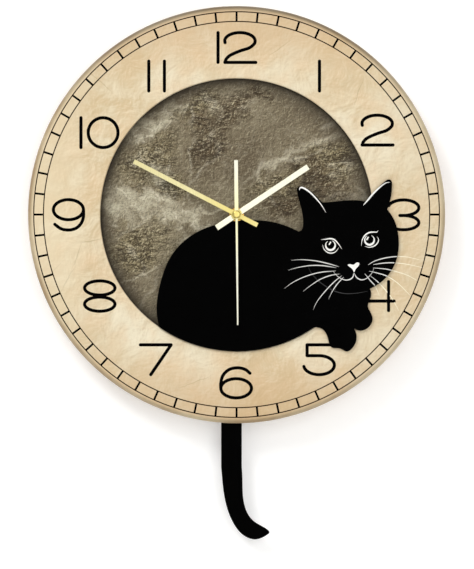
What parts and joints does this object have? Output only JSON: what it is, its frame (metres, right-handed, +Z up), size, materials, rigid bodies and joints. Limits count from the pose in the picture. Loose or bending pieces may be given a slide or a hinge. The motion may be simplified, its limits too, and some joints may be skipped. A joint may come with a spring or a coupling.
{
  "type": "pendulum wall clock",
  "caption": "Round battery wall clock with a flat black cat lying across a recessed stone disc, bar hands, a quartz movement and the cat's tail as a swinging pendulum.",
  "frame": {"origin": "where the axis of the hands meets the wall, in the rear face of the movement's cover", "axes": "+X right as seen from the front, front faces -Y, +Y into the wall, +Z up"},
  "size_m": [0.3, 0.0376, 0.3843],
  "materials": {
    "parchment_print": "printed parchment paper under satin varnish on fibreboard",
    "stone_print": "printed stone under satin varnish on fibreboard",
    "black_acrylic": "black acrylic sheet, satin",
    "foam": "closed-cell foam, matt",
    "black_rubber": "moulded rubber, matt",
    "case_plastic": "fine-textured black moulded plastic",
    "white_plastic": "plain moulded nylon",
    "wheel_plastic": "natural acetal",
    "knob_plastic": "moulded plastic",
    "zinc_screw": "bright zinc plate",
    "spring_steel": "bright steel sheet",
    "nickel": "nickel plate",
    "brass": "turned brass",
    "pale_gold": "brushed pale gold anodised sheet",
    "soft_iron": "bare soft iron sheet",
    "magnet": "sintered ferrite, matt",
    "copper_wire": "enamelled copper wire",
    "board": "green solder mask",
    "chip_resin": "black potting resin",
    "crystal_can": "drawn steel can",
    "cell_wrap": "plain printed sleeve"
  },
  "bodies": {
    "case": {"dial_ring": "parchment_print", "stone_disc": "stone_print", "cat_cutout": "black_acrylic", "cat_foam_pads": "foam", "rubber_washer": "black_rubber", "movement_front_case": "case_plastic", "movement_rear_cover": "case_plastic", "middle_plate": "white_plastic", "train_bridge": "white_plastic", "coil_bobbin": "white_plastic", "pendulum_bobbin": "white_plastic", "cover_screws": "zinc_screw", "hanger_screws": "zinc_screw", "bridge_screws": "zinc_screw", "stator_screws": "zinc_screw", "hanger_plate": "spring_steel", "pivot_pin": "spring_steel", "battery_contact_plus": "nickel", "battery_contact_minus": "nickel", "threaded_bushing": "brass", "shaft_nut": "brass", "stator": "soft_iron", "coil_core": "soft_iron", "coil_winding": "copper_wire", "pendulum_winding": "copper_wire", "circuit_board": "board", "pendulum_board": "board", "timing_chip": "chip_resin", "quartz_crystal": "crystal_can"},
    "minute_works": {"minute_hand": "pale_gold", "minute_collet": "brass", "cannon_pinion": "wheel_plastic", "clutch_washer": "spring_steel"},
    "hour_works": {"hour_hand": "pale_gold", "hour_collet": "brass", "hour_wheel": "wheel_plastic"},
    "second_works": {"second_hand": "pale_gold", "second_hand_cap": "pale_gold", "second_wheel": "wheel_plastic"},
    "third": {"third_wheel": "wheel_plastic"},
    "centre": {"centre_wheel": "wheel_plastic"},
    "intermediate": {"intermediate_wheel": "wheel_plastic"},
    "rotor": {"rotor_pinion": "wheel_plastic", "rotor_magnet": "magnet"},
    "setting": {"minute_works_wheel": "wheel_plastic", "setting_knob": "knob_plastic"},
    "pendulum": {"tail": "black_acrylic", "pendulum_lever": "white_plastic", "drive_magnet": "magnet"},
    "battery": {"battery_cell": "cell_wrap"}
  },
  "joints": [
    {"name": "minute_hand_turn", "type": "hinge", "parent": "case", "child": "minute_works", "pos_m": [0, 0, 0], "axis": [0, 1, 0], "continuous": true},
    {"name": "hour_hand_turn", "type": "hinge", "parent": "case", "child": "hour_works", "pos_m": [0, 0, 0], "axis": [0, 1, 0], "continuous": true},
    {"name": "setting_knob_turn", "type": "hinge", "parent": "case", "child": "setting", "pos_m": [0.01217, 0, -0.00326], "axis": [0, 1, 0], "continuous": true},
    {"name": "second_hand_turn", "type": "hinge", "parent": "case", "child": "second_works", "pos_m": [0, 0, 0], "axis": [0, 1, 0], "continuous": true},
    {"name": "third_wheel_turn", "type": "hinge", "parent": "case", "child": "third", "pos_m": [-0.0106, 0, 0.00612], "axis": [0, 1, 0], "continuous": true},
    {"name": "centre_wheel_turn", "type": "hinge", "parent": "case", "child": "centre", "pos_m": [0, 0, 0], "axis": [0, 1, 0], "continuous": true},
    {"name": "intermediate_wheel_turn", "type": "hinge", "parent": "case", "child": "intermediate", "pos_m": [0.0048, 0, 0.00831], "axis": [0, 1, 0], "continuous": true},
    {"name": "rotor_turn", "type": "hinge", "parent": "case", "child": "rotor", "pos_m": [0.01114, 0, 0.01465], "axis": [0, 1, 0], "continuous": true},
    {"name": "tail_swing", "type": "hinge", "parent": "case", "child": "pendulum", "pos_m": [0, 0, -0.0425], "axis": [0, 1, 0], "range_deg": [-15, 15]},
    {"name": "battery_pull", "type": "slide", "parent": "case", "child": "battery", "axis": [0, 1, 0], "range_m": [0, 0.02]}
  ],
  "couplings": [
    {"joint": "hour_hand_turn", "follows": "minute_hand_turn", "ratio": 0.083333},
    {"joint": "setting_knob_turn", "follows": "minute_hand_turn", "ratio": -0.33333},
    {"joint": "third_wheel_turn", "follows": "second_hand_turn", "ratio": -0.13333},
    {"joint": "centre_wheel_turn", "follows": "second_hand_turn", "ratio": 0.016667},
    {"joint": "intermediate_wheel_turn", "follows": "second_hand_turn", "ratio": -5},
    {"joint": "rotor_turn", "follows": "second_hand_turn", "ratio": 30}
  ]
}
